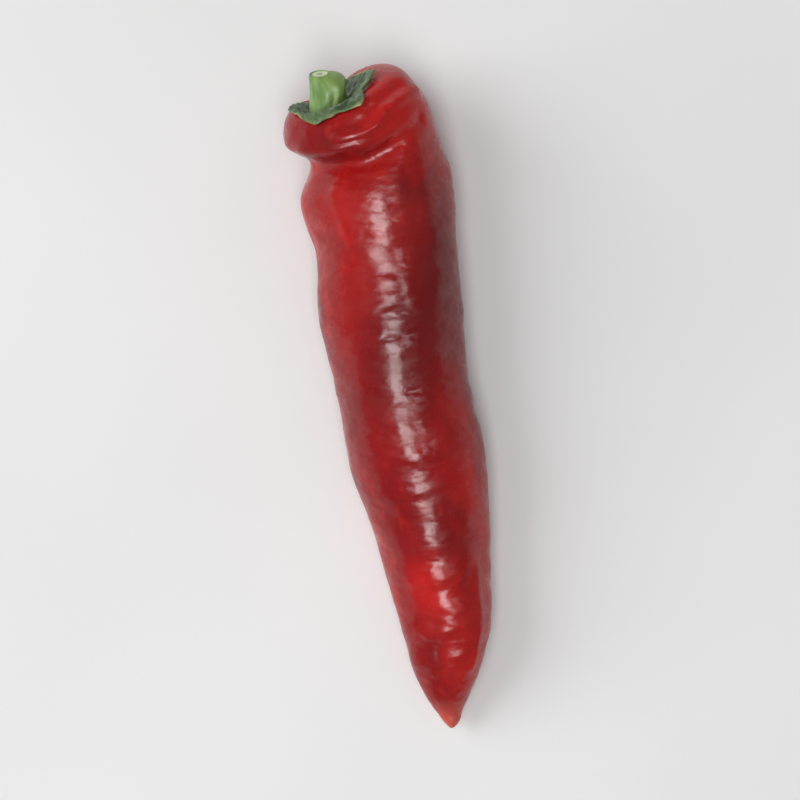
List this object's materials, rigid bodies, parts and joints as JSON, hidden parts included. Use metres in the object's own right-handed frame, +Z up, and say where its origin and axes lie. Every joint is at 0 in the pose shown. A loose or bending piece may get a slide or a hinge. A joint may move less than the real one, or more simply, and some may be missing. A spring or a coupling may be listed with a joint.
{
  "type": "sweet pointed pepper",
  "caption": "Long red sweet pointed pepper lying on its side, with a rolled shoulder, a green star-shaped calyx and a short cut stalk.",
  "frame": {"origin": "middle of the bounding box in X and Y, on the surface the pepper lies on", "axes": "+Y from the blossom tip to the stalk end, +Z up from the surface, +X to the right seen from above with the stalk end away"},
  "size_m": [0.0492, 0.2048, 0.0423],
  "materials": {
    "pepper_red": "glossy waxy skin",
    "calyx_green": "matt, leathery",
    "stalk_green": "satin"
  },
  "bodies": {
    "root": {"fruit": "pepper_red", "calyx": "calyx_green", "stalk": "stalk_green"}
  },
  "joints": []
}
